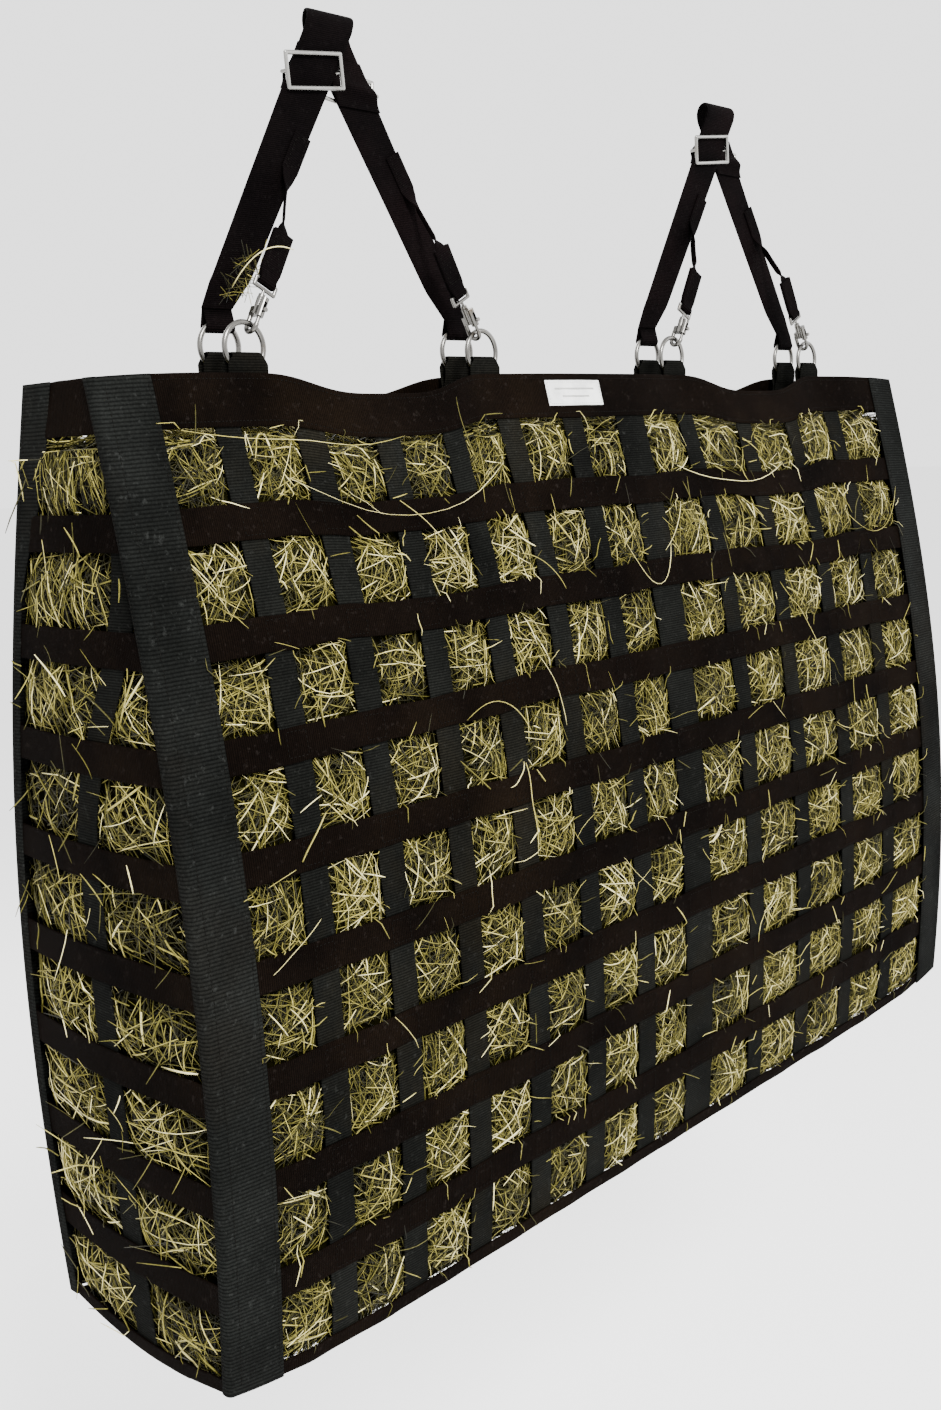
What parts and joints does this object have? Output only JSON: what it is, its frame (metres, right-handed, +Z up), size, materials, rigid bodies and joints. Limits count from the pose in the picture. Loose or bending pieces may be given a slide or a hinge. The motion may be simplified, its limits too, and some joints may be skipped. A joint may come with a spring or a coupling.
{
  "type": "hay net",
  "caption": "Hanging hay bag: a deep open-topped net of sewn webbing on two adjustable straps, hung from a rail by rings and clipped shut at the front by bolt snaps.",
  "frame": {"origin": "On the axis of the rail that the two hanging straps go over, midway between them.", "axes": "+X runs along the rail and the width of the bag to the right as seen from the front, -Y is the front with the label, +Z is up."},
  "size_m": [1.3032, 0.2979, 1.2246],
  "materials": {
    "webbing_brown": "matte",
    "webbing_slate": "matte",
    "webbing_trim": "matte",
    "strap_black": "matte",
    "label_cloth": "matte",
    "hay": "matte",
    "plated_steel": "satin"
  },
  "bodies": {
    "hangers": {"hanger_straps": "strap_black", "snap_strips": "strap_black", "snap_eyes": "plated_steel"},
    "rear_rings": {"rear_rings": "plated_steel"},
    "bag": {"front_cross_straps": "webbing_brown", "front_upright_straps": "webbing_slate", "front_seam_strap": "webbing_slate", "rear_cross_straps": "webbing_brown", "rear_upright_straps": "webbing_slate", "rear_seam_strap": "webbing_slate", "front_top_band": "webbing_brown", "rear_top_band": "webbing_brown", "gusset_top_bands": "webbing_brown", "front_corner_trims": "webbing_trim", "rear_corner_trims": "webbing_trim", "gusset_cross_straps": "webbing_brown", "gusset_centre_straps": "webbing_slate", "gusset_edge_strips": "webbing_trim", "bottom_cross_straps": "webbing_slate", "bottom_long_straps": "webbing_brown", "front_tabs": "webbing_slate", "rear_tabs": "webbing_slate", "plain_label": "label_cloth", "hay_fill": "hay"},
    "front_rings": {"front_rings": "plated_steel"},
    "slide_1": {"slide_1": "plated_steel"},
    "snap_1": {"snap_body_1": "plated_steel"},
    "bolt_1": {"snap_bolt_1": "plated_steel"},
    "slide_2": {"slide_2": "plated_steel"},
    "snap_2": {"snap_body_2": "plated_steel"},
    "bolt_2": {"snap_bolt_2": "plated_steel"},
    "slide_3": {"slide_3": "plated_steel"},
    "snap_3": {"snap_body_3": "plated_steel"},
    "bolt_3": {"snap_bolt_3": "plated_steel"},
    "slide_4": {"slide_4": "plated_steel"},
    "snap_4": {"snap_body_4": "plated_steel"},
    "bolt_4": {"snap_bolt_4": "plated_steel"}
  },
  "joints": [
    {"name": "rear_ring_swing", "type": "hinge", "parent": "hangers", "child": "rear_rings", "pos_m": [0, 0, -0.2685], "axis": [1, 0, 0], "range_deg": [-15, 15]},
    {"name": "bag_sway", "type": "hinge", "parent": "rear_rings", "child": "bag", "pos_m": [0, 0, -0.3115], "axis": [1, 0, 0], "range_deg": [-15, 15]},
    {"name": "front_ring_swing", "type": "hinge", "parent": "bag", "child": "front_rings", "pos_m": [0, -0.036, -0.3145], "axis": [1, 0, 0], "range_deg": [-15, 15]},
    {"name": "slide_1_travel", "type": "slide", "parent": "hangers", "child": "slide_1", "axis": [-0.4695, 0.0576, -0.8811], "range_m": [0, 0.035]},
    {"name": "snap_1_swivel", "type": "hinge", "parent": "hangers", "child": "snap_1", "pos_m": [-0.4635, -0.036, -0.27402], "axis": [0.4695, 0, 0.8829], "range_deg": [-25, 25]},
    {"name": "bolt_1_press", "type": "slide", "parent": "snap_1", "child": "bolt_1", "axis": [0.4695, 0, 0.8829], "range_m": [0, 0.006], "stiffness_N_per_m": 200, "springref_m": -0.004},
    {"name": "slide_2_travel", "type": "slide", "parent": "hangers", "child": "slide_2", "axis": [0.4695, -0.0576, -0.8811], "range_m": [0, 0.035]},
    {"name": "snap_2_swivel", "type": "hinge", "parent": "hangers", "child": "snap_2", "pos_m": [-0.1765, -0.036, -0.27402], "axis": [-0.4695, 0, 0.8829], "range_deg": [-25, 25]},
    {"name": "bolt_2_press", "type": "slide", "parent": "snap_2", "child": "bolt_2", "axis": [-0.4695, 0, 0.8829], "range_m": [0, 0.006], "stiffness_N_per_m": 200, "springref_m": -0.004},
    {"name": "slide_3_travel", "type": "slide", "parent": "hangers", "child": "slide_3", "axis": [-0.4695, 0.0576, -0.8811], "range_m": [0, 0.035]},
    {"name": "snap_3_swivel", "type": "hinge", "parent": "hangers", "child": "snap_3", "pos_m": [0.1765, -0.036, -0.27402], "axis": [0.4695, 0, 0.8829], "range_deg": [-25, 25]},
    {"name": "bolt_3_press", "type": "slide", "parent": "snap_3", "child": "bolt_3", "axis": [0.4695, 0, 0.8829], "range_m": [0, 0.006], "stiffness_N_per_m": 200, "springref_m": -0.004},
    {"name": "slide_4_travel", "type": "slide", "parent": "hangers", "child": "slide_4", "axis": [0.4695, -0.0576, -0.8811], "range_m": [0, 0.035]},
    {"name": "snap_4_swivel", "type": "hinge", "parent": "hangers", "child": "snap_4", "pos_m": [0.4635, -0.036, -0.27402], "axis": [-0.4695, 0, 0.8829], "range_deg": [-25, 25]},
    {"name": "bolt_4_press", "type": "slide", "parent": "snap_4", "child": "bolt_4", "axis": [-0.4695, 0, 0.8829], "range_m": [0, 0.006], "stiffness_N_per_m": 200, "springref_m": -0.004}
  ],
  "couplings": [
    {"joint": "rear_ring_swing", "follows": "bag_sway", "ratio": -1},
    {"joint": "front_ring_swing", "follows": "bag_sway", "ratio": -1}
  ]
}
